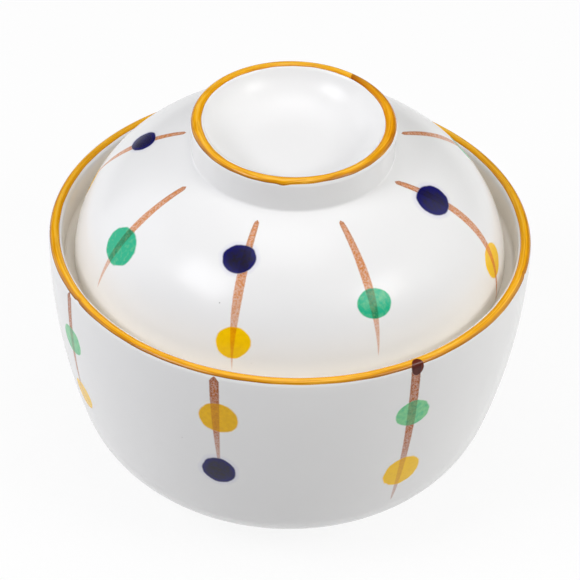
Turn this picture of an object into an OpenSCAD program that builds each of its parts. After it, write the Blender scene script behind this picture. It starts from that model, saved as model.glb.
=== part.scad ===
// Soup bowl with an inset lid: a deep round bowl on a low foot, and a domed lid
// with a ring-shaped grip that rests on a ledge inside the bowl's rim.
// Millimetres, +Z up. The origin is at the centre of the foot, on the table.

/* [Bowl] */
// Height from the table to the top of the lip
bowl_h = 70; // [62:0.5:80]
// Widest outside diameter, just under the lip
bowl_d = 120; // [112:0.5:132]
// Outward lean of the wall at the lip, in degrees
wall_lean = 1.4; // [0:0.1:5]
// Radius of the wall's long gentle curve, outside
wall_curve_r = 163; // [130:1:220]
// Radius of the turn from the wall into the bottom, outside
belly_r = 26; // [20:0.2:30]
// Inward lean of the inside wall just under the ledge, in degrees
inside_lean = 0.6; // [0:0.1:4]
// Radius of the wall's long gentle curve, inside
inside_curve_r = 170; // [120:1:240]
// Radius of the turn from the wall into the floor, inside
inside_turn_r = 20; // [12:0.5:24]
// Thickness of the floor above the belly's lowest point
floor_t = 5.2; // [4:0.1:8]

/* [Lip and lid ledge] */
// Thickness of the fully rounded lip
lip_t = 3.2; // [2.4:0.1:5]
// Inward lean of the collar between the lip and the ledge, in degrees
collar_lean = 7; // [2:0.1:12]
// Depth of the ledge below the top of the lip
ledge_depth = 7.95; // [5:0.05:12]
// Gap all round between the lid's edge and the foot of the collar
lid_gap = 2.35; // [1:0.05:4]
// How far the ledge reaches in under the lid's edge
ledge_under = 2.25; // [1.8:0.05:3.4]
// Radius of the hollow corner between the collar and the ledge
ledge_cove_r = 0.9; // [0.4:0.1:1.4]
// Radius that softens the ledge's inner edge
ledge_edge_r = 0.6; // [0.3:0.1:0.9]

/* [Foot] */
// Outside diameter of the foot ring
foot_d = 56; // [48:0.5:64]
// Width of the foot ring
foot_w = 3.6; // [2.8:0.1:6]
// Height of the belly's lowest point above the table
foot_h = 3.6; // [3.2:0.1:7]
// Height of the hollow inside the foot ring
recess_h = 3.6; // [2.6:0.1:4.4]
// Radius of the hollow corners where the foot meets the bowl
foot_cove_r = 1.5; // [0.6:0.1:1.7]
// Radius that softens the foot's two standing edges
foot_edge_r = 0.8; // [0.3:0.1:0.9]

/* [Lid] */
// Thickness of the dome
lid_t = 3.6; // [3:0.1:5]
// Radius that softens the two edges of the lid's seat
lid_edge_r = 0.8; // [0.4:0.1:1.1]
// Inward lean of the dome's side just above its edge, in degrees
side_lean = 1.5; // [0:0.1:6]
// Radius of the shoulder, outside
shoulder_r = 31.3; // [27:0.1:36]
// Angle at which the shoulder passes into the crown, in degrees
shoulder_turn = 42.4; // [34:0.2:54]
// Radius of the crown, outside
crown_r = 39.1; // [34:0.1:48]

/* [Grip ring] */
// Outside diameter of the grip ring, at its lip
grip_d = 50.8; // [42:0.2:58]
// Height of the ring's lip above the top of the crown curve
grip_h = 8.3; // [6:0.1:12]
// Thickness of the ring's fully rounded lip
grip_lip_t = 3.4; // [2.4:0.1:4.4]
// Outward lean of the ring's outside, from its foot to its lip, in degrees
grip_lean = 3; // [0:0.5:6]
// Thickness of the lid in the middle of the dish inside the ring
dish_t = 3.4; // [2.6:0.1:5]
// Inward lean of the dish's side just under the lip, in degrees
dish_lean = 26; // [18:0.5:31]
// Radius of the hollow corner where the ring meets the dome
grip_cove_r = 1.2; // [0.5:0.1:2]

/* [Glaze lines] */
// Thickness of the amber glaze lines, let in flush over both lips
line_t = 0.25; // [0.15:0.05:0.5]
// Where a line ends on the outside, in degrees above the lip's widest point
line_out = 26; // [8:1:60]
// Where a line ends on the inside, in degrees above the lip's narrowest point
line_in = 38; // [32:1:60]

/* [Hidden] */
$fn = 180;
// Farthest that a drawn curve strays from its true arc
curve_tol = 0.008;
porcelain = [0.95, 0.94, 0.93];
amber = [0.93, 0.66, 0.10];

// Points [r, z] of the profiles are built from arcs that are tangent where they meet.
function polar(c, r, a) = c + r * [cos(a), sin(a)];
function arc(c, r, a0, a1) =
    let (n = max(2, ceil(abs(a1 - a0) / (2 * acos(1 - curve_tol / r)))))
    [for (i = [0:n]) polar(c, r, a0 + (a1 - a0) * i / n)];
// Direction from one point to another
function direction(from, to) = atan2(to[1] - from[1], to[0] - from[0]);
// A lip of radius r about c, from angle a0 outside to a1 inside, with a groove for its glaze line
function grooved_lip(c, r, a0, a1) = concat(
    arc(c, r, a0, line_out),
    arc(c, r - line_t, line_out, 180 - line_in),
    arc(c, r, 180 - line_in, a1)
);

// Bowl, outside: lip, long wall curve, belly and foot
lip_r = lip_t / 2;
lip_c = [bowl_d / 2 - lip_r * cos(wall_lean), bowl_h - lip_r];
wall_c = polar(lip_c, lip_r - wall_curve_r, -wall_lean);
wall_turn = asin((wall_c[1] - foot_h - belly_r) / (wall_curve_r - belly_r));
belly_c = polar(wall_c, wall_curve_r - belly_r, -wall_turn);
foot_r = foot_d / 2;
foot_in_r = foot_r - foot_w;
// The foot's hollow corner touches its side and the belly, or the flat inside the belly's own middle
foot_cove_off = max(foot_r + foot_cove_r - belly_c[0], 0);
foot_cove_c = [
    foot_r + foot_cove_r,
    belly_c[1] - sqrt(pow(belly_r + foot_cove_r, 2) - pow(foot_cove_off, 2))
];
foot_join = direction(belly_c, [belly_c[0] + foot_cove_off, foot_cove_c[1]]);

// Bowl, inside: collar, ledge, wall curve and floor
collar_top = polar(lip_c, lip_r, 180 - collar_lean);
ledge_z = bowl_h - ledge_depth;
collar_foot_r = collar_top[0] - (collar_top[1] - ledge_z) * tan(collar_lean);
lid_r = collar_foot_r - lid_gap;
ledge_in_r = lid_r - ledge_under;
ledge_cove_x = collar_foot_r - ledge_cove_r * tan(45 - collar_lean / 2);
ledge_cove_c = [ledge_cove_x, ledge_z + ledge_cove_r];
ledge_edge_c = [ledge_in_r + ledge_edge_r, ledge_z - ledge_edge_r];
inside_c = polar(ledge_edge_c, ledge_edge_r + inside_curve_r, 180 - inside_lean);
floor_z = foot_h + floor_t;
inside_turn = asin((inside_c[1] - floor_z - inside_turn_r) / (inside_curve_r - inside_turn_r));
turn_c = polar(inside_c, inside_curve_r - inside_turn_r, -inside_turn);

// Lid: its seat lies on the ledge, and its edge stays lid_gap clear of the collar
lid_edge_c = [lid_r - lid_edge_r * cos(side_lean), ledge_z + lid_edge_r];
shoulder_c = polar(lid_edge_c, lid_edge_r - shoulder_r, side_lean);
crown_c = polar(shoulder_c, shoulder_r - crown_r, shoulder_turn);
lid_in_edge_c = [lid_r - lid_t + lid_edge_r, ledge_z + lid_edge_r];

// Grip ring on the crown, with the dish inside it
grip_lip_r = grip_lip_t / 2;
grip_lip_c = [grip_d / 2 - grip_lip_r, crown_c[1] + crown_r + grip_h - grip_lip_r];
// The ring's hollow corner touches its leaning side and the crown: its centre is found from the crown's
// centre by going out square to the side, then up along it
grip_out = [cos(grip_lean), -sin(grip_lean)];
grip_up = [sin(grip_lean), cos(grip_lean)];
grip_cove_off = (grip_lip_c - crown_c) * grip_out + grip_lip_r + grip_cove_r;
grip_cove_rise = sqrt(pow(crown_r + grip_cove_r, 2) - pow(grip_cove_off, 2));
grip_cove_c = crown_c + grip_cove_off * grip_out + grip_cove_rise * grip_up;
grip_join = direction(crown_c, grip_cove_c);
dish_depth = grip_h + lid_t - dish_t;
dish_r = dish_depth / (1 - sin(dish_lean)) - grip_lip_r;
dish_c = polar(grip_lip_c, grip_lip_r + dish_r, 180 - dish_lean);

// A profile turned about the axis, as the clay is on the wheel
module turned(points) {
    rotate_extrude() polygon(points);
}

// The skin of glaze that fills the groove of a lip of radius r about c
module glaze_line(c, r) {
    turned(concat(arc(c, r, line_out, 180 - line_in), arc(c, r - line_t, 180 - line_in, line_out)));
}

module bowl_body() {
    color(porcelain)
    turned(concat(
        [[0, recess_h]],
        arc([foot_in_r - foot_cove_r, recess_h - foot_cove_r], foot_cove_r, 90, 0),
        arc([foot_in_r + foot_edge_r, foot_edge_r], foot_edge_r, 180, 270),
        arc([foot_r - foot_edge_r, foot_edge_r], foot_edge_r, 270, 360),
        arc(foot_cove_c, foot_cove_r, 180, foot_join + 180),
        arc(belly_c, belly_r, foot_join, -wall_turn),
        arc(wall_c, wall_curve_r, -wall_turn, -wall_lean),
        grooved_lip(lip_c, lip_r, -wall_lean, 180 - collar_lean),
        arc(ledge_cove_c, ledge_cove_r, -collar_lean, -90),
        arc(ledge_edge_c, ledge_edge_r, 90, 180 - inside_lean),
        arc(inside_c, inside_curve_r, -inside_lean, -inside_turn),
        arc(turn_c, inside_turn_r, -inside_turn, -90),
        [[0, floor_z]]
    ));
}

module rim_glaze_line() {
    color(amber) glaze_line(lip_c, lip_r);
}

module lid_body() {
    color(porcelain)
    turned(concat(
        arc(lid_in_edge_c, lid_edge_r, 180, 270),
        arc(lid_edge_c, lid_edge_r, -90, side_lean),
        arc(shoulder_c, shoulder_r, side_lean, shoulder_turn),
        arc(crown_c, crown_r, shoulder_turn, grip_join),
        arc(grip_cove_c, grip_cove_r, grip_join + 180, 180 - grip_lean),
        grooved_lip(grip_lip_c, grip_lip_r, -grip_lean, 180 - dish_lean),
        arc(dish_c, dish_r, -dish_lean, -90),
        [[0, dish_c[1] - dish_r], [0, crown_c[1] + crown_r - lid_t]],
        arc(crown_c, crown_r - lid_t, 90, shoulder_turn),
        arc(shoulder_c, shoulder_r - lid_t, shoulder_turn, side_lean)
    ));
}

module grip_glaze_line() {
    color(amber) glaze_line(grip_lip_c, grip_lip_r);
}

bowl_body();
rim_glaze_line();
lid_body();
grip_glaze_line();
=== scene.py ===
import math

import bmesh
import bpy
import numpy as np
from mathutils import Matrix, Vector


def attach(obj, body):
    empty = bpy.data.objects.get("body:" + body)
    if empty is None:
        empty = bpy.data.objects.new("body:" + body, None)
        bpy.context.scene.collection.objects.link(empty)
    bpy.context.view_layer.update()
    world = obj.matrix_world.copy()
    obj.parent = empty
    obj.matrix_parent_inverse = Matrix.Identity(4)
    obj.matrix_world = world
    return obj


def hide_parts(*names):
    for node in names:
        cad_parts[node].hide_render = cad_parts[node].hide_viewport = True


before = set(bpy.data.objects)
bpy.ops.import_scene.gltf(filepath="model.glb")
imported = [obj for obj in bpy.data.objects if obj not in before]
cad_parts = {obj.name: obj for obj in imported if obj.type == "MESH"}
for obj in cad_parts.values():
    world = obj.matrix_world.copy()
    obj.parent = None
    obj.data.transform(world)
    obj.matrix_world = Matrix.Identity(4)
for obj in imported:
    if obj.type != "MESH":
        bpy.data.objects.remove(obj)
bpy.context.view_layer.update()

# The bowl: white porcelain, turned in one piece with its foot ring and the ledge for the lid.
# It is painted by hand with thin coloured washes, then dipped in clear glaze; only the face that
# it stands on is wiped bare.

# Sizes are in millimetres and angles in degrees
MM = 0.001
BOWL_SEGMENTS = 256
LIP_POINTS = 49
# Points of a turned skin that lie closer than this are one
seam_gap = 0.002

bowl_height = 70.0
bowl_width = 120.0
wall_lean = 1.4
wall_curve = 163.0
belly_curve = 26.0
lip_round = 1.6
collar_lean = 7.0
ledge_depth = 7.95
lid_gap = 2.35
ledge_under_lid = 2.25
ledge_cove = 0.9
ledge_edge = 0.6
inside_lean = 0.6
inside_curve = 170.0
inside_turn_curve = 20.0
floor_height = 8.8
floor_flat_round = 14.0
foot_round = 28.0
foot_width = 3.6
foot_height = 3.6
foot_cove = 1.5
foot_edge = 0.8
foot_flat_round = 12.0
# The foot is wiped bare up to the first height, and fully glazed from the second
wiped_heights = (0.25, 0.45)
# Thickness of the amber coats, how much of the lip they cover, and over how much it draws in for them
coat = 0.10
coat_from = 14.0
coat_to = 136.0
coat_fade = 14.0


def polar(centre, radius, angle):
    """The point [r, z] at an angle in degrees round a centre."""
    turn = math.radians(angle)
    return np.array(centre) + radius * np.array([math.cos(turn), math.sin(turn)])


def arc(centre, radius, start, end, finest=7.0, longest=1.3):
    """Points along an arc of the profile, at most finest degrees and longest millimetres apart."""
    sweep = abs(end - start)
    count = max(math.ceil(sweep / finest), math.ceil(math.radians(sweep) * radius / longest), 2)
    return [polar(centre, radius, angle) for angle in np.linspace(start, end, count + 1)]


def straight(start, end):
    """A straight stretch of the profile, with points close to its ends so that its shading stays flat."""
    return [start + (end - start) * share for share in (0.0, 0.06, 0.3, 0.7, 0.94, 1.0)]


def lip_under_coat(centre, radius, start, end):
    """A rounded lip, drawn in a little where the amber coat lies on it."""
    points = []
    for angle in np.linspace(start, end, LIP_POINTS):
        past_outer = min(max((angle - coat_from + coat_fade) / coat_fade, 0), 1)
        past_inner = min(max((coat_to + coat_fade - angle) / coat_fade, 0), 1)
        inward = past_outer * past_inner
        points.append(polar(centre, radius - 0.5 * coat * inward, angle))
    return points


def way_along(profile, zero):
    """Distance in metres along a profile, counted from one of its points."""
    steps = np.linalg.norm(np.diff(np.array(profile), axis=0), axis=1)
    walked = np.concatenate([[0.0], np.cumsum(steps)])
    return (walked - walked[zero]) * MM


def place(tree, kind, feeds=None, **settings):
    """Puts a node into a tree; each feed is another node's socket or a plain value."""
    node = tree.nodes.new(kind)
    for name, value in settings.items():
        setattr(node, name, value)
    for key, value in (feeds or {}).items():
        if isinstance(value, bpy.types.NodeSocket):
            tree.links.new(value, node.inputs[key])
        else:
            node.inputs[key].default_value = value
    return node


def reckon(tree, operation, first, second=0.0, clamp=False):
    """One step of arithmetic in a tree of either kind."""
    return place(tree, "ShaderNodeMath", {0: first, 1: second}, operation=operation, use_clamp=clamp).outputs[0]


def mixed(tree, factor, under, over, blend="MIX"):
    """Lays one colour over another."""
    return place(
        tree, "ShaderNodeMix", {0: factor, 6: under, 7: over}, data_type="RGBA", blend_type=blend
    ).outputs[2]


def grid_of_rings(tree, rows, columns):
    """A grid for a ring-shaped skin: gives its mesh, and each point's row and column."""
    grid = place(tree, "GeometryNodeMeshGrid", {"Vertices X": columns, "Vertices Y": rows}).outputs["Mesh"]
    index = place(tree, "GeometryNodeInputIndex").outputs[0]
    column = reckon(tree, "FLOOR", reckon(tree, "DIVIDE", reckon(tree, "ADD", index, 0.5), rows))
    row = reckon(tree, "SUBTRACT", index, reckon(tree, "MULTIPLY", column, rows))
    return grid, row, column


def spin(tree, grid, turn, radius, height, down, surface):
    """Bends the grid round the axis, maps turn and way down on it, and closes its seams."""
    east = reckon(tree, "MULTIPLY", radius, reckon(tree, "SINE", turn))
    north = reckon(tree, "MULTIPLY", reckon(tree, "MULTIPLY", radius, reckon(tree, "COSINE", turn)), -1.0)
    spot = place(tree, "ShaderNodeCombineXYZ", {"X": east, "Y": north, "Z": height}).outputs[0]
    chart = place(tree, "ShaderNodeCombineXYZ", {"X": turn, "Y": down}).outputs[0]
    chart = place(
        tree, "GeometryNodeFieldOnDomain", {"Value": chart}, data_type="FLOAT_VECTOR", domain="POINT"
    ).outputs[0]
    mapped = place(
        tree, "GeometryNodeStoreNamedAttribute", {"Geometry": grid, "Name": "turning", "Value": chart},
        data_type="FLOAT2", domain="CORNER",
    ).outputs[0]
    bent = place(tree, "GeometryNodeSetPosition", {"Geometry": mapped, "Position": spot}).outputs[0]
    closed = place(tree, "GeometryNodeMergeByDistance", {"Geometry": bent, "Distance": seam_gap * MM}).outputs[0]
    smooth = place(tree, "GeometryNodeSetShadeSmooth", {"Geometry": closed, "Shade Smooth": True}).outputs[0]
    whole = place(tree, "GeometryNodeRealizeInstances", {"Geometry": smooth}).outputs[0]
    return place(tree, "GeometryNodeSetMaterial", {"Geometry": whole, "Material": surface}).outputs[0]


def new_tree(name, kind, inputs, outputs):
    """A node group with its named sockets; gives the tree, its entry and its exit."""
    tree = bpy.data.node_groups.new(name, kind)
    for label, socket in inputs:
        tree.interface.new_socket(label, in_out="INPUT", socket_type="NodeSocket" + socket)
    for label, socket in outputs:
        tree.interface.new_socket(label, in_out="OUTPUT", socket_type="NodeSocket" + socket)
    return tree, tree.nodes.new("NodeGroupInput").outputs, tree.nodes.new("NodeGroupOutput").inputs


def wheel_turning():
    """Spins a profile, drawn with r along X and height along Z, about the Z axis."""
    tree, given, result = new_tree(
        "wheel_turning", "GeometryNodeTree",
        [("Profile", "Geometry"), ("Segments", "Int"), ("Surface", "Material")], [("Turned", "Geometry")],
    )
    rows = place(
        tree, "GeometryNodeAttributeDomainSize", {"Geometry": given["Profile"]}, component="MESH"
    ).outputs["Point Count"]
    grid, row, column = grid_of_rings(tree, rows, reckon(tree, "ADD", given["Segments"], 1.0))
    share = reckon(tree, "DIVIDE", column, given["Segments"])
    turn = reckon(tree, "MULTIPLY", reckon(tree, "SUBTRACT", share, 0.5), math.tau)
    point = place(
        tree, "GeometryNodeSampleIndex",
        {"Geometry": given["Profile"], "Value": place(tree, "GeometryNodeInputPosition").outputs[0], "Index": row},
        data_type="FLOAT_VECTOR", domain="POINT",
    ).outputs[0]
    down = place(
        tree, "GeometryNodeSampleIndex",
        {
            "Geometry": given["Profile"],
            "Value": place(
                tree, "GeometryNodeInputNamedAttribute", {"Name": "down"}, data_type="FLOAT"
            ).outputs["Attribute"],
            "Index": row,
        },
        data_type="FLOAT", domain="POINT",
    ).outputs[0]
    drawn = place(tree, "ShaderNodeSeparateXYZ", {0: point}).outputs
    turned = spin(tree, grid, turn, drawn["X"], drawn["Z"], down, given["Surface"])
    tree.links.new(turned, result["Turned"])
    return tree


def shaped(name, points, marks, tree, sizes):
    """Runs a tree on a line of points with their marks, and keeps the outcome as a plain mesh."""
    line = bpy.data.meshes.new(name + "_line")
    line.from_pydata([tuple(p) for p in points], [(i, i + 1) for i in range(len(points) - 1)], [])
    for mark, values in marks.items():
        line.attributes.new(mark, "FLOAT", "POINT").data.foreach_set("value", np.array(values, dtype=np.float32))
    piece = bpy.data.objects.new(name, line)
    bpy.context.scene.collection.objects.link(piece)
    modifier = piece.modifiers.new("shaping", "NODES")
    modifier.node_group = tree
    for item in tree.interface.items_tree:
        if item.in_out == "INPUT" and item.name in sizes:
            modifier[item.identifier] = sizes[item.name]
    depsgraph = bpy.context.evaluated_depsgraph_get()
    mesh = bpy.data.meshes.new_from_object(
        piece.evaluated_get(depsgraph), preserve_all_data_layers=True, depsgraph=depsgraph
    )
    piece.modifiers.clear()
    piece.data = mesh
    mesh.name = name
    bpy.data.meshes.remove(line)
    faces = bmesh.new()
    faces.from_mesh(mesh)
    bmesh.ops.recalc_face_normals(faces, faces=faces.faces)
    faces.to_mesh(mesh)
    faces.free()
    return piece


def clear_glaze():
    """The white under clear glaze: a faint change of tone, a few iron specks, a slightly wavy gloss."""
    tree, given, result = new_tree(
        "clear_glaze", "ShaderNodeTree", [("Place", "Vector"), ("Specks", "Float")],
        [("Colour", "Color"), ("Roughness", "Float"), ("Height", "Float")],
    )
    cloud = place(tree, "ShaderNodeTexNoise", {"Vector": given["Place"], "Scale": 55.0, "Detail": 2.0}).outputs[0]
    tone = mixed(tree, cloud, (0.885, 0.883, 0.880, 1), (0.865, 0.865, 0.864, 1))
    cells = place(
        tree, "ShaderNodeTexVoronoi", {"Vector": given["Place"], "Scale": 120.0, "Randomness": 1.0}, feature="F1"
    )
    chance = place(tree, "ShaderNodeSeparateColor", {0: cells.outputs["Color"]}).outputs
    kept = reckon(tree, "LESS_THAN", chance[0], given["Specks"])
    size = reckon(tree, "ADD", reckon(tree, "MULTIPLY", chance[1], 0.020), 0.010)
    dot = place(
        tree, "ShaderNodeMapRange",
        {"Value": cells.outputs["Distance"], "From Min": size, "From Max": reckon(tree, "ADD", size, 0.018),
         "To Min": 0.75, "To Max": 0.0},
    ).outputs[0]
    speck = reckon(tree, "MULTIPLY", dot, kept)
    white = mixed(tree, speck, tone, (0.16, 0.15, 0.15, 1))
    gloss = place(
        tree, "ShaderNodeMapRange",
        {"Value": place(
            tree, "ShaderNodeTexNoise", {"Vector": given["Place"], "Scale": 140.0, "Detail": 3.0}
        ).outputs[0], "To Min": 0.18, "To Max": 0.26},
    ).outputs[0]
    wave = place(tree, "ShaderNodeTexNoise", {"Vector": given["Place"], "Scale": 90.0, "Detail": 1.0}).outputs[0]
    tree.links.new(white, result["Colour"])
    tree.links.new(gloss, result["Roughness"])
    tree.links.new(wave, result["Height"])
    return tree


def brush_stroke():
    """One pull of a round brush down the piece: rounded start, fullest in the middle, fine tail.

    Begun is how far along its pull the brush already is at the top, Taper how fast it narrows, Dry end the
    share of the wash that is left at its tail, and Tip the length over which its start rounds out."""
    tree, given, result = new_tree(
        "brush_stroke", "ShaderNodeTree",
        [("Turning", "Vector"), ("Radius", "Float"), ("Grain", "Float"), ("Turn", "Float"), ("Top", "Float"),
         ("Length", "Float"), ("Lean", "Float"), ("Bow", "Float"), ("Half width", "Float"), ("Begun", "Float"),
         ("Taper", "Float"), ("Dry end", "Float"), ("Tip", "Float")],
        [("Cover", "Float"), ("Pooled", "Float")],
    )
    where = place(tree, "ShaderNodeSeparateXYZ", {0: given["Turning"]}).outputs
    along = reckon(
        tree, "DIVIDE", reckon(tree, "SUBTRACT", where["Y"], given["Top"]), given["Length"], clamp=True
    )
    arch = reckon(tree, "MULTIPLY", along, reckon(tree, "SUBTRACT", 4.0, reckon(tree, "MULTIPLY", along, 4.0)))
    swing = reckon(
        tree, "ADD", reckon(tree, "MULTIPLY", along, given["Lean"]), reckon(tree, "MULTIPLY", arch, given["Bow"])
    )
    aside = reckon(tree, "SUBTRACT", reckon(tree, "SUBTRACT", where["X"], given["Turn"]), swing)
    aside = reckon(tree, "ABSOLUTE", reckon(tree, "MULTIPLY", aside, given["Radius"]))
    pulled = place(tree, "ShaderNodeMapRange", {"Value": along, "To Min": given["Begun"], "To Max": 1.0}).outputs[0]
    pressure = place(tree, "ShaderNodeFloatCurve", {"Value": pulled})
    curve = pressure.mapping.curves[0]
    for share, press in (
        (0.012, 0.42), (0.04, 0.58), (0.12, 0.70), (0.25, 0.82), (0.45, 1.0), (0.6, 0.9), (0.75, 0.62),
        (0.88, 0.34), (0.96, 0.17),
    ):
        curve.points.new(share, press)
    curve.points[0].location = (0.0, 0.0)
    curve.points[len(curve.points) - 1].location = (1.0, 0.0)
    pressure.mapping.update()
    ragged = reckon(tree, "ADD", 1.0, reckon(tree, "MULTIPLY", given["Grain"], 0.35))
    below = reckon(tree, "SUBTRACT", where["Y"], given["Top"])
    tip = reckon(tree, "POWER", reckon(tree, "DIVIDE", below, given["Tip"], clamp=True), 0.6)
    pressed = reckon(tree, "MULTIPLY", reckon(tree, "POWER", pressure.outputs[0], given["Taper"]), tip)
    half = reckon(tree, "MULTIPLY", reckon(tree, "MULTIPLY", pressed, ragged), given["Half width"])
    cover = place(
        tree, "ShaderNodeMapRange",
        {"Value": reckon(tree, "SUBTRACT", half, aside), "From Min": 0.0, "From Max": 0.30 * MM},
        interpolation_type="SMOOTHSTEP",
    ).outputs[0]
    drying = place(
        tree, "ShaderNodeMapRange",
        {"Value": along, "From Min": 0.45, "From Max": 1.0, "To Min": 1.0, "To Max": given["Dry end"]},
    ).outputs[0]
    set_down = reckon(tree, "GREATER_THAN", where["Y"], given["Top"])
    start = place(
        tree, "ShaderNodeMapRange",
        {"Value": along, "From Min": 0.02, "From Max": 0.30, "To Min": 1.0, "To Max": 0.0},
    ).outputs[0]
    border = place(
        tree, "ShaderNodeMapRange",
        {"Value": reckon(tree, "DIVIDE", aside, half), "From Min": 0.25, "From Max": 0.85},
    ).outputs[0]
    first_touch = place(
        tree, "ShaderNodeMapRange",
        {"Value": along, "From Min": 0.0, "From Max": 0.06, "To Min": 0.8, "To Max": 0.0},
    ).outputs[0]
    pooled = reckon(tree, "MULTIPLY", start, reckon(tree, "MAXIMUM", border, first_touch))
    cover = reckon(tree, "MULTIPLY", cover, set_down)
    tree.links.new(reckon(tree, "MULTIPLY", cover, drying), result["Cover"])
    tree.links.new(reckon(tree, "MULTIPLY", cover, pooled), result["Pooled"])
    return tree


def colour_dab():
    """A dab set down with a loaded brush: nearly round, with its rim, and a halo where it bled into the glaze."""
    tree, given, result = new_tree(
        "colour_dab", "ShaderNodeTree",
        [("Turning", "Vector"), ("Radius", "Float"), ("Wobble", "Float"), ("Turn", "Float"), ("Depth", "Float"),
         ("Half size", "Vector"), ("Tilt", "Float")],
        [("Cover", "Float"), ("Rim", "Float"), ("Halo", "Float")],
    )
    where = place(tree, "ShaderNodeSeparateXYZ", {0: given["Turning"]}).outputs
    aside = reckon(tree, "MULTIPLY", reckon(tree, "SUBTRACT", where["X"], given["Turn"]), given["Radius"])
    below = reckon(tree, "SUBTRACT", where["Y"], given["Depth"])
    spot = place(tree, "ShaderNodeCombineXYZ", {"X": aside, "Y": below}).outputs[0]
    level = place(
        tree, "ShaderNodeVectorRotate", {"Vector": spot, "Angle": given["Tilt"]}, rotation_type="Z_AXIS"
    ).outputs[0]
    scaled = place(
        tree, "ShaderNodeVectorMath", {0: level, 1: given["Half size"]}, operation="DIVIDE"
    ).outputs[0]
    out = place(tree, "ShaderNodeVectorMath", {0: scaled}, operation="LENGTH").outputs["Value"]
    out = reckon(tree, "MULTIPLY", out, reckon(tree, "ADD", 1.0, reckon(tree, "MULTIPLY", given["Wobble"], 0.20)))
    cover = place(
        tree, "ShaderNodeMapRange",
        {"Value": out, "From Min": 0.93, "From Max": 1.03, "To Min": 1.0, "To Max": 0.0},
        interpolation_type="SMOOTHSTEP",
    ).outputs[0]
    rim = place(
        tree, "ShaderNodeMapRange", {"Value": out, "From Min": 0.55, "From Max": 1.0},
        interpolation_type="SMOOTHSTEP",
    ).outputs[0]
    halo = place(
        tree, "ShaderNodeMapRange",
        {"Value": out, "From Min": 0.95, "From Max": 1.28, "To Min": 0.2, "To Max": 0.0},
    ).outputs[0]
    tree.links.new(cover, result["Cover"])
    tree.links.new(rim, result["Rim"])
    tree.links.new(halo, result["Halo"])
    return tree


# Each wash: where it is thin, and where it is thick
washes = {
    "blue": ((0.006, 0.005, 0.120, 1), (0.013, 0.010, 0.026, 1)),
    "green": ((0.250, 0.660, 0.310, 1), (0.006, 0.460, 0.245, 1)),
    "yellow": ((1.000, 0.600, 0.000, 1), (0.830, 0.450, 0.000, 1)),
    "brown": ((0.150, 0.020, 0.006, 1), (0.085, 0.008, 0.002, 1)),
}
bled_blue = (0.20, 0.20, 0.62, 1)
pooled_brown = (0.62, 0.50, 0.42, 1)
bare_clay = (0.66, 0.59, 0.50, 1)
# Share of a stroke's brown that still shows on a blue dab, of what shows on the others
brown_on_blue = 0.4
# How much thicker a wash is in one patch than in another, and how much thinner a blue one is at its rim
wash_patchiness = 0.5
blue_rim_thinner = 0.85

glaze_group = clear_glaze()
stroke_group = brush_stroke()
dab_group = colour_dab()


def laid_dab(tree, colour, touch, turning, radius, wobble, patch):
    """Lays one dab over a colour; gives the new colour, and how far the dab covers it."""
    mark = place(
        tree, "ShaderNodeGroup",
        {"Turning": turning, "Radius": radius, "Wobble": wobble, "Turn": math.radians(touch["turn"]),
         "Depth": touch["down"] * MM, "Half size": (touch["wide"] * MM, touch["high"] * MM, 1.0),
         "Tilt": -math.radians(touch["tilt"])},
        node_tree=dab_group,
    ).outputs
    thin, thick = washes[touch["wash"]]
    patchy = reckon(tree, "MULTIPLY", patch, wash_patchiness)
    loaded = reckon(tree, "ADD", patchy, touch["load"] - 0.5 * wash_patchiness, clamp=True)
    if touch["wash"] == "blue":
        thinner = reckon(tree, "MULTIPLY", mark["Rim"], blue_rim_thinner)
        loaded = reckon(tree, "SUBTRACT", loaded, thinner, clamp=True)
        colour = mixed(tree, mark["Halo"], colour, bled_blue)
    return mixed(tree, mark["Cover"], colour, mixed(tree, loaded, thin, thick)), mark["Cover"]


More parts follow.
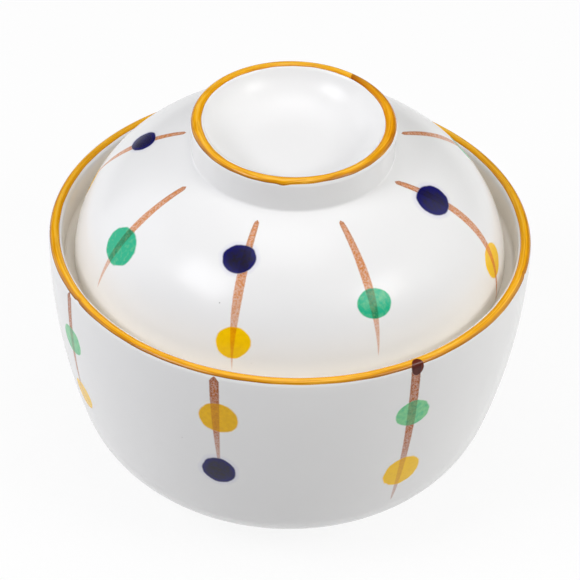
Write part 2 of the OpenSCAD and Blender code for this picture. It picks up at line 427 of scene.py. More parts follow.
def painted_glaze(name, strokes, wash, on_dabs, gathered_and_bounce_tint, gather_and_bounce_band):
    """Clear-glazed white with its strokes and dabs, bare where it stands, creamy where glaze gathers.
    The gathered tint is also painted bounce light: lighter and warmer than the white, as light from the amber rim.

    The wash is the strokes' brown, and on_dabs is how much of it still shows where it crosses a dab, less on a
    blue one. The gathered tint comes in over the first two of four distances down, and goes out over the
    last two."""
    material = bpy.data.materials.new(name)
    material.use_nodes = True
    tree = material.node_tree
    gloss = tree.nodes["Principled BSDF"]
    position = place(tree, "ShaderNodeTexCoord").outputs["Object"]
    turning = place(tree, "ShaderNodeUVMap", uv_map="turning").outputs[0]
    flat = place(tree, "ShaderNodeVectorMath", {0: position, 1: (1.0, 1.0, 0.0)}, operation="MULTIPLY").outputs[0]
    radius = place(tree, "ShaderNodeVectorMath", {0: flat}, operation="LENGTH").outputs["Value"]
    fine = place(tree, "ShaderNodeTexNoise", {"Vector": position, "Scale": 2200.0, "Detail": 3.0}).outputs[0]
    grain = reckon(tree, "SUBTRACT", fine, 0.5)
    broad = place(tree, "ShaderNodeTexNoise", {"Vector": position, "Scale": 300.0, "Detail": 2.0}).outputs[0]
    wobble = reckon(tree, "SUBTRACT", broad, 0.5)
    mottle = place(tree, "ShaderNodeTexNoise", {"Vector": position, "Scale": 850.0, "Detail": 4.0}).outputs[0]
    patch = place(tree, "ShaderNodeMapRange", {"Value": mottle, "From Min": 0.35, "From Max": 0.65}).outputs[0]
    thin_spots = place(
        tree, "ShaderNodeMapRange",
        {"Value": fine, "From Min": 0.38, "From Max": 0.66, "To Min": 1.0, "To Max": 0.65},
    ).outputs[0]
    glaze = place(tree, "ShaderNodeGroup", {"Place": position, "Specks": 0.05}, node_tree=glaze_group)
    down = place(tree, "ShaderNodeSeparateXYZ", {0: turning}).outputs["Y"]
    comes, goes = (
        place(
            tree, "ShaderNodeMapRange", {"Value": down, "From Min": start * MM, "From Max": end * MM},
            interpolation_type="SMOOTHSTEP",
        ).outputs[0]
        for start, end in (gather_and_bounce_band[:2], gather_and_bounce_band[:1:-1])
    )
    # Creamy where glaze gathers, and lighter and warmer there as painted bounce light from the amber rim
    colour = mixed(tree, reckon(tree, "MULTIPLY", comes, goes), glaze.outputs["Colour"], gathered_and_bounce_tint)
    for pull in strokes:
        see_through = 1.0
        for touch in pull["dabs"]:
            colour, covered = laid_dab(tree, colour, touch, turning, radius, wobble, patch)
            hides = 1.0 - on_dabs * (brown_on_blue if touch["wash"] == "blue" else 1.0)
            see_through = reckon(tree, "SUBTRACT", see_through, reckon(tree, "MULTIPLY", covered, hides))
        mark = place(
            tree, "ShaderNodeGroup",
            {"Turning": turning, "Radius": radius, "Grain": grain, "Turn": math.radians(pull["turn"]),
             "Top": pull["top"] * MM, "Length": pull["length"] * MM, "Lean": math.radians(pull["lean"]),
             "Bow": math.radians(pull["bow"]), "Half width": 0.5 * pull["width"] * MM, "Begun": pull["begun"],
             "Taper": pull["taper"], "Dry end": pull["dry_end"], "Tip": pull["tip"] * MM},
            node_tree=stroke_group,
        ).outputs
        laid = reckon(tree, "MULTIPLY", mark["Cover"], reckon(tree, "MULTIPLY", thin_spots, see_through))
        colour = mixed(tree, laid, colour, wash, "MULTIPLY")
        colour = mixed(tree, mark["Pooled"], colour, pooled_brown, "MULTIPLY")
    height = place(tree, "ShaderNodeSeparateXYZ", {0: position}).outputs["Z"]
    bare, glazed = wiped_heights
    wiped = place(
        tree, "ShaderNodeMapRange",
        {"Value": height, "From Min": bare * MM, "From Max": glazed * MM, "To Min": 1.0, "To Max": 0.0},
    ).outputs[0]
    clay = mixed(tree, wiped, colour, bare_clay)
    sheen = place(
        tree, "ShaderNodeMapRange",
        {"Value": wiped, "To Min": glaze.outputs["Roughness"], "To Max": 0.8},
    ).outputs[0]
    bump = place(
        tree, "ShaderNodeBump", {"Height": glaze.outputs["Height"], "Strength": 0.12, "Distance": 0.6 * MM}
    ).outputs[0]
    tree.links.new(clay, gloss.inputs["Base Color"])
    tree.links.new(sheen, gloss.inputs["Roughness"])
    tree.links.new(bump, gloss.inputs["Normal"])
    gloss.inputs["IOR"].default_value = 1.45
    gloss.inputs["Specular IOR Level"].default_value = 0.3
    return material


def dab(wash, turn, down, wide, high, tilt=0.0, load=0.5):
    """A dab: its wash, where it is, its half width and half height, its tilt, and how thick its wash lies."""
    return dict(wash=wash, turn=turn, down=down, wide=wide, high=high, tilt=tilt, load=load)


def stroke(turn, top, length, width, lean, bow, dabs, begun=0.0, taper=0.85, dry_end=0.8, tip=0.8):
    """A stroke with its dabs: where it starts, its size, and the turns by which its end leans and its middle bows."""
    return dict(
        turn=turn, top=top, length=length, width=width, lean=lean, bow=bow, dabs=dabs, begun=begun, taper=taper,
        dry_end=dry_end, tip=tip)


# The brush meets the bowl's lip at nearly its full width, and one stroke starts in a brown blob over the lip.
# Turns are from the front, plus to the right, and places down from the lip's widest point.
bowl_start = dict(begun=0.42, tip=1.5)
brown_blob = dab("brown", 32.1, -0.2, 1.75, 2.35)
bowl_strokes = [
    stroke(-63.3, -0.9, 40.5, 2.4, -0.8, 0.0, [
        dab("green", -63.7, 14.6, 5.1, 4.1, -18, 0.30), dab("yellow", -63.3, 32.7, 4.4, 4.0, 0, 0.1)],
        taper=0.8, dry_end=0.5, **bowl_start),
    stroke(-16.7, -0.75, 37.6, 2.7, 1.05, 0.0, [
        dab("yellow", -15.65, 12.6, 5.1, 5.0, 0, 0.8), dab("blue", -16.1, 31.95, 4.95, 4.35, -76, 0.80)],
        taper=1.0, dry_end=0.3, **bowl_start),
    stroke(31.7, -2.6, 51.5, 2.9, -0.1, 0.0, [
        dab("green", 31.9, 14.7, 5.0, 4.2, 20, 0.20), dab("yellow", 32.05, 36.55, 5.6, 5.2, 67, 0.0), brown_blob],
        taper=0.52, dry_end=0.5, **bowl_start),
    stroke(92.4, -0.4, 37.4, 2.6, -0.7, 0.3, [
        dab("yellow", 92.0, 13.0, 4.9, 4.4, 12), dab("blue", 91.6, 32.0, 4.6, 4.2, 40, 0.75)],
        taper=0.9, dry_end=0.4, **bowl_start),
    stroke(142.6, -0.5, 43.4, 2.8, 0.8, -0.2, [
        dab("green", 143.0, 14.2, 5.0, 4.3, -12, 0.35), dab("yellow", 143.4, 35.0, 5.0, 4.6, 30)],
        taper=0.7, dry_end=0.5, **bowl_start),
    stroke(-166.2, -0.3, 36.3, 2.5, 0.4, 0.2, [
        dab("yellow", -166.0, 12.6, 4.8, 4.5, -8), dab("blue", -165.6, 31.4, 4.7, 4.3, 15, 0.75)],
        taper=0.9, dry_end=0.4, **bowl_start),
    stroke(-114.6, -0.6, 42.6, 2.6, -0.5, 0.2, [
        dab("blue", -115.0, 14.0, 4.7, 4.2, 24, 0.7), dab("green", -115.4, 34.6, 4.9, 4.4, -16, 0.4)],
        taper=0.8, dry_end=0.5, **bowl_start),
]
bowl_wash = (0.505, 0.125, 0.010, 1)
bowl_wash_on_dabs = 0.58
# Glaze gathers creamy inside the lip, on the collar and the ledge; the tint is also lighter and warmer,
# as painted bounce light from the amber rim in the shaded gap
bowl_gathered_and_bounce_tint = (0.93, 0.875, 0.79, 1)
bowl_gather_and_bounce_band = (-4.0, -6.5, -13.0, -20.0)

lip_centre = np.array([bowl_width / 2 - lip_round * math.cos(math.radians(wall_lean)), bowl_height - lip_round])
wall_centre = polar(lip_centre, lip_round - wall_curve, -wall_lean)
wall_turn = math.degrees(math.asin((wall_centre[1] - foot_height - belly_curve) / (wall_curve - belly_curve)))
belly_centre = polar(wall_centre, wall_curve - belly_curve, -wall_turn)
collar_top = polar(lip_centre, lip_round, 180 - collar_lean)
ledge_height = bowl_height - ledge_depth
collar_foot = collar_top[0] - (collar_top[1] - ledge_height) * math.tan(math.radians(collar_lean))
lid_round = collar_foot - lid_gap
ledge_cove_centre = [
    collar_foot - ledge_cove * math.tan(math.radians(45 - collar_lean / 2)), ledge_height + ledge_cove]
ledge_edge_centre = np.array([lid_round - ledge_under_lid + ledge_edge, ledge_height - ledge_edge])
inside_centre = polar(ledge_edge_centre, ledge_edge + inside_curve, 180 - inside_lean)
inside_turn = math.degrees(
    math.asin((inside_centre[1] - floor_height - inside_turn_curve) / (inside_curve - inside_turn_curve)))
inside_turn_centre = polar(inside_centre, inside_curve - inside_turn_curve, -inside_turn)
foot_cove_round = foot_round + foot_cove
foot_cove_centre = np.array([
    foot_cove_round,
    belly_centre[1] - math.sqrt((belly_curve + foot_cove) ** 2 - (foot_cove_round - belly_centre[0]) ** 2)])
foot_join = math.degrees(math.atan2(*(foot_cove_centre - belly_centre)[::-1]))

bowl_inside = (
    [[0.0, floor_height], [floor_flat_round, floor_height]]
    + arc(inside_turn_centre, inside_turn_curve, -90, -inside_turn)
    + arc(inside_centre, inside_curve, -inside_turn, -inside_lean, longest=2.0)
    + arc(ledge_edge_centre, ledge_edge, 180 - inside_lean, 90)
    + arc(ledge_cove_centre, ledge_cove, -90, -collar_lean)
    + straight(polar(ledge_cove_centre, ledge_cove, -collar_lean), collar_top)
    + lip_under_coat(lip_centre, lip_round, 180 - collar_lean, -wall_lean)
)
bowl_outside = (
    arc(wall_centre, wall_curve, -wall_lean, -wall_turn)
    + arc(belly_centre, belly_curve, -wall_turn, foot_join)
    + arc(foot_cove_centre, foot_cove, foot_join + 180, 180)
    + arc([foot_round - foot_edge, foot_edge], foot_edge, 360, 270)
    + arc([foot_round - foot_width + foot_edge, foot_edge], foot_edge, 270, 180)
    + arc([foot_round - foot_width - foot_cove, foot_height - foot_cove], foot_cove, 0, 90)
    + [[foot_flat_round, foot_height], [0.0, foot_height]]
)


def without_doubles(points, closest=0.01):
    """Drops points that lie on the one before them, where two arcs meet."""
    kept = [np.array(points[0], dtype=float)]
    for point in points[1:]:
        if np.linalg.norm(np.array(point) - kept[-1]) > closest:
            kept.append(np.array(point, dtype=float))
    return kept


bowl_inside = without_doubles(bowl_inside)
bowl_profile = without_doubles(bowl_inside + bowl_outside)
turning_tree = wheel_turning()
bowl = shaped(
    "bowl", [(r * MM, 0.0, z * MM) for r, z in bowl_profile],
    {"down": way_along(bowl_profile, len(bowl_inside) - 1)}, turning_tree,
    {"Segments": BOWL_SEGMENTS, "Surface": painted_glaze(
        "painted_bowl_glaze", bowl_strokes, bowl_wash, bowl_wash_on_dabs, bowl_gathered_and_bounce_tint, bowl_gather_and_bounce_band)},
)
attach(bowl, "bowl")
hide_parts("bowl_body")

# The amber line over the bowl's lip: a coloured glaze put on with a loaded brush while the bowl turned.
# It stands a little proud of the white, is thin on the crest and pools into brown along both edges;
# its crest and pale streaks are lightened further as a painted highlight.
BAND_ROWS = 45
# How far the coat's underside lies below its two edges, in coats
coat_sunk = 0.6


def brushed_band():
    """A thin closed coat over a lip, whose two edges wander as the marks on its line say."""
    tree, given, result = new_tree(
        "brushed_band", "GeometryNodeTree",
        [("Line", "Geometry"), ("Rows", "Int"), ("Ring radius", "Float"), ("Ring height", "Float"),
         ("Lip radius", "Float"), ("Coat", "Float"), ("Surface", "Material")],
        [("Band", "Geometry")],
    )
    columns = place(
        tree, "GeometryNodeAttributeDomainSize", {"Geometry": given["Line"]}, component="MESH"
    ).outputs["Point Count"]
    grid, row, column = grid_of_rings(tree, given["Rows"], columns)
    marks = {}
    for mark in ("turn", "outer", "inner"):
        value = place(
            tree, "GeometryNodeInputNamedAttribute", {"Name": mark}, data_type="FLOAT"
        ).outputs["Attribute"]
        marks[mark] = place(
            tree, "GeometryNodeSampleIndex", {"Geometry": given["Line"], "Value": value, "Index": column},
            data_type="FLOAT", domain="POINT",
        ).outputs[0]
    round_trip = reckon(tree, "DIVIDE", row, reckon(tree, "SUBTRACT", given["Rows"], 1.0))
    side = reckon(tree, "SUBTRACT", reckon(tree, "MULTIPLY", round_trip, 2.0), 1.0)
    across = reckon(tree, "SUBTRACT", 1.0, reckon(tree, "ABSOLUTE", side))
    spread = reckon(tree, "SUBTRACT", marks["inner"], marks["outer"])
    angle = reckon(tree, "ADD", marks["outer"], reckon(tree, "MULTIPLY", spread, across))
    from_middle = reckon(tree, "ABSOLUTE", reckon(tree, "SUBTRACT", reckon(tree, "MULTIPLY", across, 2.0), 1.0))
    pillow = reckon(tree, "SQRT", reckon(tree, "SUBTRACT", 1.0, reckon(tree, "POWER", from_middle, 6.0), clamp=True))
    under = reckon(tree, "GREATER_THAN", side, 0.0)
    facing = reckon(tree, "SUBTRACT", 1.0, reckon(tree, "MULTIPLY", under, 1.0 + coat_sunk))
    lift = reckon(tree, "MULTIPLY", pillow, facing)
    skin = reckon(
        tree, "ADD", given["Lip radius"],
        reckon(tree, "MULTIPLY", given["Coat"], reckon(tree, "SUBTRACT", lift, 1.0)),
    )
    radius = reckon(
        tree, "ADD", given["Ring radius"], reckon(tree, "MULTIPLY", skin, reckon(tree, "COSINE", angle)))
    height = reckon(
        tree, "ADD", given["Ring height"], reckon(tree, "MULTIPLY", skin, reckon(tree, "SINE", angle)))
    down = reckon(tree, "MULTIPLY", reckon(tree, "MULTIPLY", angle, given["Lip radius"]), -1.0)
    marked = place(
        tree, "GeometryNodeStoreNamedAttribute", {"Geometry": grid, "Name": "across", "Value": across},
        data_type="FLOAT", domain="POINT",
    ).outputs[0]
    band = spin(tree, marked, marks["turn"], radius, height, down, given["Surface"])
    tree.links.new(band, result["Band"])
    return tree


def hand_line(turns, levels, sway, beats, slips):
    """An edge drawn by hand round a turning piece: its level at some turns, small waves, and slips of the brush.

    A wave is its number to a round, its share of the sway and its start; a slip its turn, width and depth."""
    at, level = np.radians(np.array(levels, dtype=float)).T
    line = np.interp(turns, at, level, period=math.tau)
    for beat, share, shift in beats:
        line += math.radians(sway) * share * np.sin(beat * turns + shift)
    for turn, width, depth in slips:
        away = np.angle(np.exp(1j * (turns - math.radians(turn)))) / math.radians(width)
        line += math.radians(depth) * np.exp(-away ** 2)
    return line


def later(beats, shift):
    """The same waves, started later, for the other edge of a line."""
    return [(beat, share, start + shift) for beat, share, start in beats]


# The amber where it pools along its outer and its inner edge, and its shades from the one to the other;
# the shades on the crest are lightened further as a painted highlight
amber_outer_pool = (0.24, 0.085, 0.002, 1)
amber_inner_pool = (0.30, 0.105, 0.002, 1)
amber_shades_with_painted_crest_highlight = (
    (0.10, (0.42, 0.155, 0.001, 1)), (0.22, (0.64, 0.255, 0.001, 1)), (0.33, (0.72, 0.300, 0.001, 1)),
    (0.42, (0.92, 0.420, 0.003, 1)), (0.52, (1.00, 0.520, 0.025, 1)), (0.60, (1.00, 0.550, 0.050, 1)),
    (0.68, (0.94, 0.460, 0.015, 1)), (0.76, (0.88, 0.400, 0.003, 1)), (0.86, (0.84, 0.370, 0.002, 1)),
    (0.95, (0.54, 0.205, 0.001, 1)),
)
# Tints over it: cloudy patches, dark bristle marks, pale streaks that are partly bristle marks and partly
# a painted highlight, and a second layer, thin and heaped up
amber_cloud = (0.60, 0.24, 0.00, 1)
amber_bristle = (0.66, 0.48, 0.30, 1)
amber_pale_and_highlight = (1.00, 0.60, 0.09, 1)
amber_twice = (0.95, 0.84, 0.40, 1)
amber_heap = (0.42, 0.24, 0.10, 1)
# The second layer's end: how far it slants across the lip, how soft it is, and how fast the layer builds up to it
overlap_slant = 3.0
overlap_soft = 0.8
twice_rise = 3.0
heap_rise = 6.0


def amber_glaze(name, overlaps, dabs):
    """Amber glaze: yellow on the crest, brown where it pools at the edges and where its end overlaps its start.

    The crest and pale streaks are lightened further as a painted highlight.
    """
    material = bpy.data.materials.new(name)
    material.use_nodes = True
    tree = material.node_tree
    gloss = tree.nodes["Principled BSDF"]
    position = place(tree, "ShaderNodeTexCoord").outputs["Object"]
    turning = place(tree, "ShaderNodeUVMap", uv_map="turning").outputs[0]
    turn = place(tree, "ShaderNodeSeparateXYZ", {0: turning}).outputs["X"]
    flat = place(tree, "ShaderNodeVectorMath", {0: position, 1: (1.0, 1.0, 0.0)}, operation="MULTIPLY").outputs[0]
    across = place(tree, "ShaderNodeAttribute", attribute_name="across").outputs["Fac"]
    heading = place(tree, "ShaderNodeVectorMath", {0: flat}, operation="NORMALIZE").outputs[0]
    lane = place(tree, "ShaderNodeCombineXYZ", {"Z": reckon(tree, "MULTIPLY", across, 2.6)}).outputs[0]
    brushed = place(tree, "ShaderNodeVectorMath", {0: heading, 1: lane}, operation="ADD").outputs[0]
    streak = place(tree, "ShaderNodeTexNoise", {"Vector": brushed, "Scale": 3.2, "Detail": 4.0}).outputs[0]
    cloud = place(tree, "ShaderNodeTexNoise", {"Vector": position, "Scale": 420.0, "Detail": 3.0}).outputs[0]
    sway = reckon(tree, "MULTIPLY", reckon(tree, "SUBTRACT", streak, 0.5), 0.32)
    tint = place(tree, "ShaderNodeValToRGB", {0: reckon(tree, "ADD", across, sway)})
    ramp = tint.color_ramp.elements
    ramp[0].position, ramp[0].color = 0.00, amber_outer_pool
    ramp[1].position, ramp[1].color = 1.00, amber_inner_pool
    # The crest shades are lighter than the glaze's own colour, as a painted highlight
    for share, shade in amber_shades_with_painted_crest_highlight:
        ramp.new(share).color = shade
    mottle = place(
        tree, "ShaderNodeMapRange",
        {"Value": cloud, "From Min": 0.3, "From Max": 0.7, "To Min": 0.14, "To Max": 0.0},
    ).outputs[0]
    bristle_line = place(
        tree, "ShaderNodeMapRange",
        {"Value": streak, "From Min": 0.40, "From Max": 0.46, "To Min": 0.45, "To Max": 0.0},
    ).outputs[0]
    # Pale streaks along the band: partly bristle marks, partly a painted highlight on the crest
    pale_and_highlight_line = place(
        tree, "ShaderNodeMapRange",
        {"Value": streak, "From Min": 0.55, "From Max": 0.66, "To Min": 0.0, "To Max": 0.6},
    ).outputs[0]
    colour = mixed(tree, mottle, tint.outputs[0], amber_cloud)
    colour = mixed(tree, bristle_line, colour, amber_bristle, "MULTIPLY")
    colour = mixed(tree, pale_and_highlight_line, colour, amber_pale_and_highlight)
    for start, end in overlaps:
        edge = reckon(tree, "ADD", turn, reckon(tree, "MULTIPLY", across, math.radians(overlap_slant)))
        begun = place(
            tree, "ShaderNodeMapRange",
            {"Value": edge, "From Min": math.radians(start), "From Max": math.radians(start + overlap_soft),
             "To Min": 1.0, "To Max": 0.0},
        ).outputs[0]
        load = place(
            tree, "ShaderNodeMapRange",
            {"Value": turn, "From Min": math.radians(end), "From Max": math.radians(start)},
        ).outputs[0]
        twice = reckon(tree, "MULTIPLY", reckon(tree, "MULTIPLY", load, twice_rise, clamp=True), begun)
        heap = reckon(tree, "MULTIPLY", reckon(tree, "POWER", load, heap_rise), begun)
        inward = reckon(tree, "ADD", reckon(tree, "MULTIPLY", across, 0.5), 0.65)
        heap = reckon(tree, "MULTIPLY", heap, inward, clamp=True)
        colour = mixed(tree, twice, colour, amber_twice, "MULTIPLY")
        colour = mixed(tree, heap, colour, amber_heap, "MULTIPLY")
    radius = place(tree, "ShaderNodeVectorMath", {0: flat}, operation="LENGTH").outputs["Value"]
    wobble = reckon(tree, "SUBTRACT", cloud, 0.5)
    for touch in dabs:
        colour = laid_dab(tree, colour, touch, turning, radius, wobble, cloud)[0]
    shine = place(
        tree, "ShaderNodeMapRange",
        {"Value": cloud, "From Min": 0.3, "From Max": 0.7, "To Min": 0.14, "To Max": 0.26},
    ).outputs[0]
    bump = place(tree, "ShaderNodeBump", {"Height": streak, "Strength": 0.25, "Distance": 0.2 * MM}).outputs[0]
    tree.links.new(colour, gloss.inputs["Base Color"])
    tree.links.new(shine, gloss.inputs["Roughness"])
    tree.links.new(bump, gloss.inputs["Normal"])
    gloss.inputs["Specular IOR Level"].default_value = 0.3
    return material


band_tree = brushed_band()
rim_turns = np.linspace(-math.pi, math.pi, BOWL_SEGMENTS * 2 + 1)
rim_beats = [(7, 0.35, 2.1), (19, 0.3, 4.0), (43, 0.25, 1.2)]
# Degrees round the lip, from its widest point outside up over the crest, at some turns from the front
rim_outer = [(-150, 22), (-110, 22), (-77, 20), (-40, 26), (0, 27), (30, 22), (57, 14), (80, 17), (97, 20)]
rim_inner = [
    (-150, 136), (-110, 135), (-77, 134), (-40, 114), (0, 112), (30, 113), (57, 122), (97, 146), (140, 138)]
rim_slips = [(-59.4, 0.6, 12.0), (76.5, 0.6, 12.0)]
rim_band = shaped(
    "rim_band", [(turn, 0.0, 0.0) for turn in rim_turns],
    {
        "turn": rim_turns,
        "outer": hand_line(rim_turns, rim_outer, 3.0, rim_beats, rim_slips),
        "inner": hand_line(rim_turns, rim_inner, 3.5, later(rim_beats, 1.3), []),
    },
    band_tree,
    {
        "Rows": BAND_ROWS, "Ring radius": lip_centre[0] * MM, "Ring height": lip_centre[1] * MM,
        "Lip radius": lip_round * MM, "Coat": coat * MM,
        "Surface": amber_glaze("amber_rim_glaze", [], [brown_blob]),
    },
)
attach(rim_band, "bowl")
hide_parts("rim_glaze_line")

# The lid: white porcelain dome, turned in one piece with the ring that it is lifted by and the dish
# inside the ring. It is painted and glazed as the bowl is, and its flat edge rests on the bowl's ledge.
LID_SEGMENTS = 256

lid_thickness = 3.6
lid_edge = 0.8
side_lean = 1.5
shoulder_curve = 31.3
shoulder_turn = 42.4
crown_curve = 39.1
grip_round = 25.4
grip_height = 8.3
grip_lip_round = 1.7
grip_lean = 3.0
grip_cove = 0.6
dish_thickness = 3.4
dish_lean = 26.0
dish_floor_rounds = (0.0, 5.0, 9.0)

lid_edge_centre = np.array(
    [lid_round - lid_edge * math.cos(math.radians(side_lean)), ledge_height + lid_edge])
shoulder_centre = polar(lid_edge_centre, lid_edge - shoulder_curve, side_lean)
crown_centre = polar(shoulder_centre, shoulder_curve - crown_curve, shoulder_turn)
crown_top = crown_centre[1] + crown_curve
grip_lip_centre = np.array([grip_round - grip_lip_round, crown_top + grip_height - grip_lip_round])
grip_out = polar([0, 0], 1, -grip_lean)
grip_up = polar([0, 0], 1, 90 - grip_lean)
grip_cove_off = (grip_lip_centre - crown_centre) @ grip_out + grip_lip_round + grip_cove
grip_cove_rise = math.sqrt((crown_curve + grip_cove) ** 2 - grip_cove_off ** 2)
grip_cove_centre = crown_centre + grip_cove_off * grip_out + grip_cove_rise * grip_up
grip_join = math.degrees(math.atan2(*(grip_cove_centre - crown_centre)[::-1]))
dish_depth = grip_height + lid_thickness - dish_thickness
dish_curve = dish_depth / (1 - math.sin(math.radians(dish_lean))) - grip_lip_round
dish_centre = polar(grip_lip_centre, grip_lip_round + dish_curve, 180 - dish_lean)
dish_floor = dish_centre[1] - dish_curve

lid_grip = without_doubles(
    [[r, dish_floor] for r in dish_floor_rounds]
    + arc(dish_centre, dish_curve, -90, -dish_lean, finest=4.0)
    + lip_under_coat(grip_lip_centre, grip_lip_round, 180 - dish_lean, -grip_lean)
    + straight(
        polar(grip_lip_centre, grip_lip_round, -grip_lean), polar(grip_cove_centre, grip_cove, 180 - grip_lean))
    + arc(grip_cove_centre, grip_cove, 180 - grip_lean, grip_join + 180)
)
lid_profile = without_doubles(
    lid_grip
    + arc(crown_centre, crown_curve, grip_join, shoulder_turn)
    + arc(shoulder_centre, shoulder_curve, shoulder_turn, side_lean)
    + arc(lid_edge_centre, lid_edge, side_lean, -90)
    + arc([lid_round - lid_thickness + lid_edge, ledge_height + lid_edge], lid_edge, 270, 180)
    + arc(shoulder_centre, shoulder_curve - lid_thickness, side_lean, shoulder_turn, longest=2.0)
    + arc(crown_centre, crown_curve - lid_thickness, shoulder_turn, 90, longest=2.0)
    + [[0.0, crown_top - lid_thickness]]
)

# Turns are from the front, plus to the right, and places down from the ring's foot
lid_strokes = [
    stroke(-103.1, 1.6, 33.0, 2.5, -1.5, 1.55, [
        dab("blue", -103.15, 13.75, 4.3, 3.45, -45, 0.5), dab("yellow", -104.0, 34.9, 4.4, 4.0, 0, 0.2)]),
    stroke(-60.15, 4.2, 35.5, 2.4, -2.2, 0.0, [dab("green", -60.85, 26.3, 5.5, 4.95, -11, 1.0)],
        taper=0.7, dry_end=0.6),
    stroke(-16.15, 3.2, 39.5, 2.7, 2.1, -0.4, [
        dab("blue", -18.3, 14.55, 4.25, 3.8, -14, 0.75), dab("yellow", -14.6, 34.9, 4.45, 4.0, -23, 0.1)],
        taper=1.0, dry_end=0.6),
    stroke(24.3, 3.6, 36.0, 2.5, 0.6, 1.15, [dab("green", 26.25, 26.15, 4.45, 3.85, 10, 0.85)], dry_end=0.6),
    stroke(66.4, 1.8, 45.0, 2.7, 6.4, 5.3, [
        dab("blue", 70.15, 12.3, 4.95, 4.45, 32, 0.5), dab("yellow", 75.4, 35.85, 4.7, 4.5, 18, 0.0)],
        taper=0.65, dry_end=1.0),
    stroke(108.8, 2.6, 38.0, 2.6, 10.0, 2.0, [dab("green", 118.0, 27.5, 4.9, 4.4, 20, 0.75)]),
    stroke(154.0, 3.0, 40.0, 2.6, 2.0, -1.0, [
        dab("blue", 155.0, 13.4, 4.4, 3.9, 12, 0.6), dab("yellow", 156.0, 34.9, 4.5, 4.2, -10, 0.2)]),
    stroke(-148.6, 3.4, 37.0, 2.5, -1.0, 0.8, [dab("green", -148.8, 26.3, 5.1, 4.5, -20, 0.8)]),
]
lid_wash = (0.74, 0.265, 0.070, 1)
lid_wash_on_dabs = 0.85
# Glaze gathers towards the lid's edge; its tint, brighter and warmer than the white, is also painted
# bounce light from the bowl's collar and amber rim
lid_gathered_and_bounce_tint = (0.97, 0.94, 0.89, 1)
lid_gather_and_bounce_band = (28.0, 43.0, 46.0, 52.0)

lid = shaped(
    "lid", [(r * MM, 0.0, z * MM) for r, z in lid_profile],
    {"down": way_along(lid_profile, len(lid_grip) - 1)}, turning_tree,
    {"Segments": LID_SEGMENTS, "Surface": painted_glaze(
        "painted_lid_glaze", lid_strokes, lid_wash, lid_wash_on_dabs, lid_gathered_and_bounce_tint, lid_gather_and_bounce_band)},
)
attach(lid, "lid")
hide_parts("lid_body")

# The amber line over the grip ring's lip: the same coloured glaze, brushed on in one round whose end
# runs over its start, with a small run at the front.
grip_turns = np.linspace(-math.pi, math.pi, LID_SEGMENTS + 1)
grip_beats = [(5, 0.4, 0.3), (13, 0.3, 2.6), (29, 0.25, 5.0)]
grip_outer = [(-160, 22), (-77, 17), (-42, 18), (-12, 20), (17, 29), (60, 30), (95, 18), (140, 22)]
grip_inner = [
    (-150, 134), (-107, 136), (-74, 130), (-42, 96), (-12, 98), (17, 115), (60, 150), (95, 148), (121, 140),
    (140, 131)]
grip_run = [(-4.8, 3.0, -14.0)]
# The turns where the end of the round stops, and where it first runs over the start
grip_overlap = (145.5, 45.0)
grip_band = shaped(
    "grip_band", [(turn, 0.0, 0.0) for turn in grip_turns],
    {
        "turn": grip_turns,
        "outer": hand_line(grip_turns, grip_outer, 3.0, grip_beats, grip_run),
        "inner": hand_line(grip_turns, grip_inner, 3.0, later(grip_beats, 2.2), []),
    },
    band_tree,
    {
        "Rows": BAND_ROWS, "Ring radius": grip_lip_centre[0] * MM, "Ring height": grip_lip_centre[1] * MM,
        "Lip radius": grip_lip_round * MM, "Coat": coat * MM,
        "Surface": amber_glaze("amber_grip_glaze", [grip_overlap], []),
    },
)
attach(grip_band, "lid")
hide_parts("grip_glaze_line")

# The studio: a plain white table, two small soft lamps in front that show as highlights, and large soft
# panels at the sides, behind and above. The camera looks down at the bowl from the front, a little
# tilted, through a long lens.
table_reach = 3.0
table_seen = (0.92, 0.92, 0.92, 1)
table_unseen = (0.70, 0.70, 0.70, 1)
table_white_share = 0.9

table_mesh = bpy.data.meshes.new("table")
table_corners = [(-1, -1), (1, -1), (1, 1), (-1, 1)]
table_mesh.from_pydata([(x * table_reach, y * table_reach, 0) for x, y in table_corners], [], [(0, 1, 2, 3)])
table = bpy.data.objects.new("table", table_mesh)
bpy.context.scene.collection.objects.link(table)
table_paint = bpy.data.materials.new("table_white")
table_paint.use_nodes = True
table_tree = table_paint.node_tree
matt = table_tree.nodes["Principled BSDF"]
matt.inputs["Roughness"].default_value = 0.9
matt.inputs["Specular IOR Level"].default_value = 0.0
path = place(table_tree, "ShaderNodeLightPath").outputs
seen = reckon(table_tree, "MAXIMUM", path["Is Camera Ray"], path["Is Glossy Ray"])
seen = reckon(table_tree, "MAXIMUM", seen, path["Is Transmission Ray"])
table_tree.links.new(mixed(table_tree, seen, table_unseen, table_seen), matt.inputs["Base Color"])
white = place(table_tree, "ShaderNodeEmission", {"Color": (1, 1, 1, 1), "Strength": 1.0}).outputs[0]
whitened = reckon(table_tree, "MULTIPLY", seen, table_white_share)
ground = place(table_tree, "ShaderNodeMixShader", {0: whitened, 1: matt.outputs[0], 2: white})
table_tree.links.new(ground.outputs[0], table_tree.nodes["Material Output"].inputs["Surface"])
table_mesh.materials.append(table_paint)

middle_of_bowl = Vector((0.0, 0.0, 0.06))


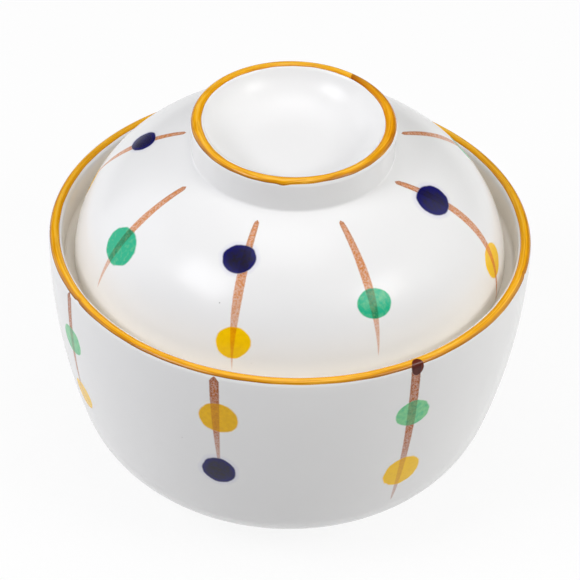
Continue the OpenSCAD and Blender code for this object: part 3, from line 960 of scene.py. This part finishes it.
def softbox(name, azimuth, elevation, distance, width, height, power, tint=(1.0, 1.0, 1.0)):
    """A soft lamp that looks at the bowl; azimuth from the front, plus to the right, in degrees."""
    az, el = math.radians(azimuth), math.radians(elevation)
    away = Vector((math.cos(el) * math.sin(az), -math.cos(el) * math.cos(az), math.sin(el)))
    lamp = bpy.data.lights.new(name, "AREA")
    lamp.shape, lamp.size, lamp.size_y, lamp.energy = "RECTANGLE", width, height, power
    lamp.color = tint
    light = bpy.data.objects.new(name, lamp)
    light.location = middle_of_bowl + away * distance
    light.rotation_euler = away.to_track_quat("Z", "Y").to_euler()
    bpy.context.scene.collection.objects.link(light)


softbox("left_softbox", -57, 43, 1.10, 0.50, 0.38, 5.0, (0.97, 0.97, 1.0))
softbox("right_softbox", 59, 37, 1.10, 0.44, 0.32, 3.2, (1.0, 0.985, 0.96))
softbox("right_screen", 64, 45, 1.15, 1.30, 1.30, 2.6)
softbox("left_panel", -105, 18, 1.20, 1.00, 1.00, 4.9, (0.965, 0.975, 1.0))
softbox("right_panel", 105, 18, 1.20, 1.00, 1.00, 3.5)
softbox("back_softbox", 180, 72, 1.20, 0.80, 0.80, 1.4)
softbox("top_softbox", 0, 85, 1.20, 0.60, 0.60, 2.9)

room = bpy.data.worlds.new("room")
room.use_nodes = True
room.node_tree.nodes["Background"].inputs["Color"].default_value = (1, 1, 1, 1)
room.node_tree.nodes["Background"].inputs["Strength"].default_value = 0.06
bpy.context.scene.world = room

picture_width = 580
focal_pixels = 5226
film_width = 36
camera_place = (0.0, -1.02803, 0.86500)
camera_aim = (0.0004, 0.0, 0.0509)
camera_tilt = 1.9

camera_lens = bpy.data.cameras.new("camera")
camera_lens.sensor_width = film_width
camera_lens.lens = film_width * focal_pixels / picture_width
camera = bpy.data.objects.new("camera", camera_lens)
camera.location = camera_place
aim = (Vector(camera_aim) - camera.location).normalized()
level = aim.to_track_quat("-Z", "Y").to_matrix()
camera.rotation_euler = (level @ Matrix.Rotation(math.radians(camera_tilt), 3, "Z")).to_euler()
bpy.context.scene.collection.objects.link(camera)
bpy.context.scene.camera = camera
bpy.context.scene.view_settings.view_transform = "Standard"
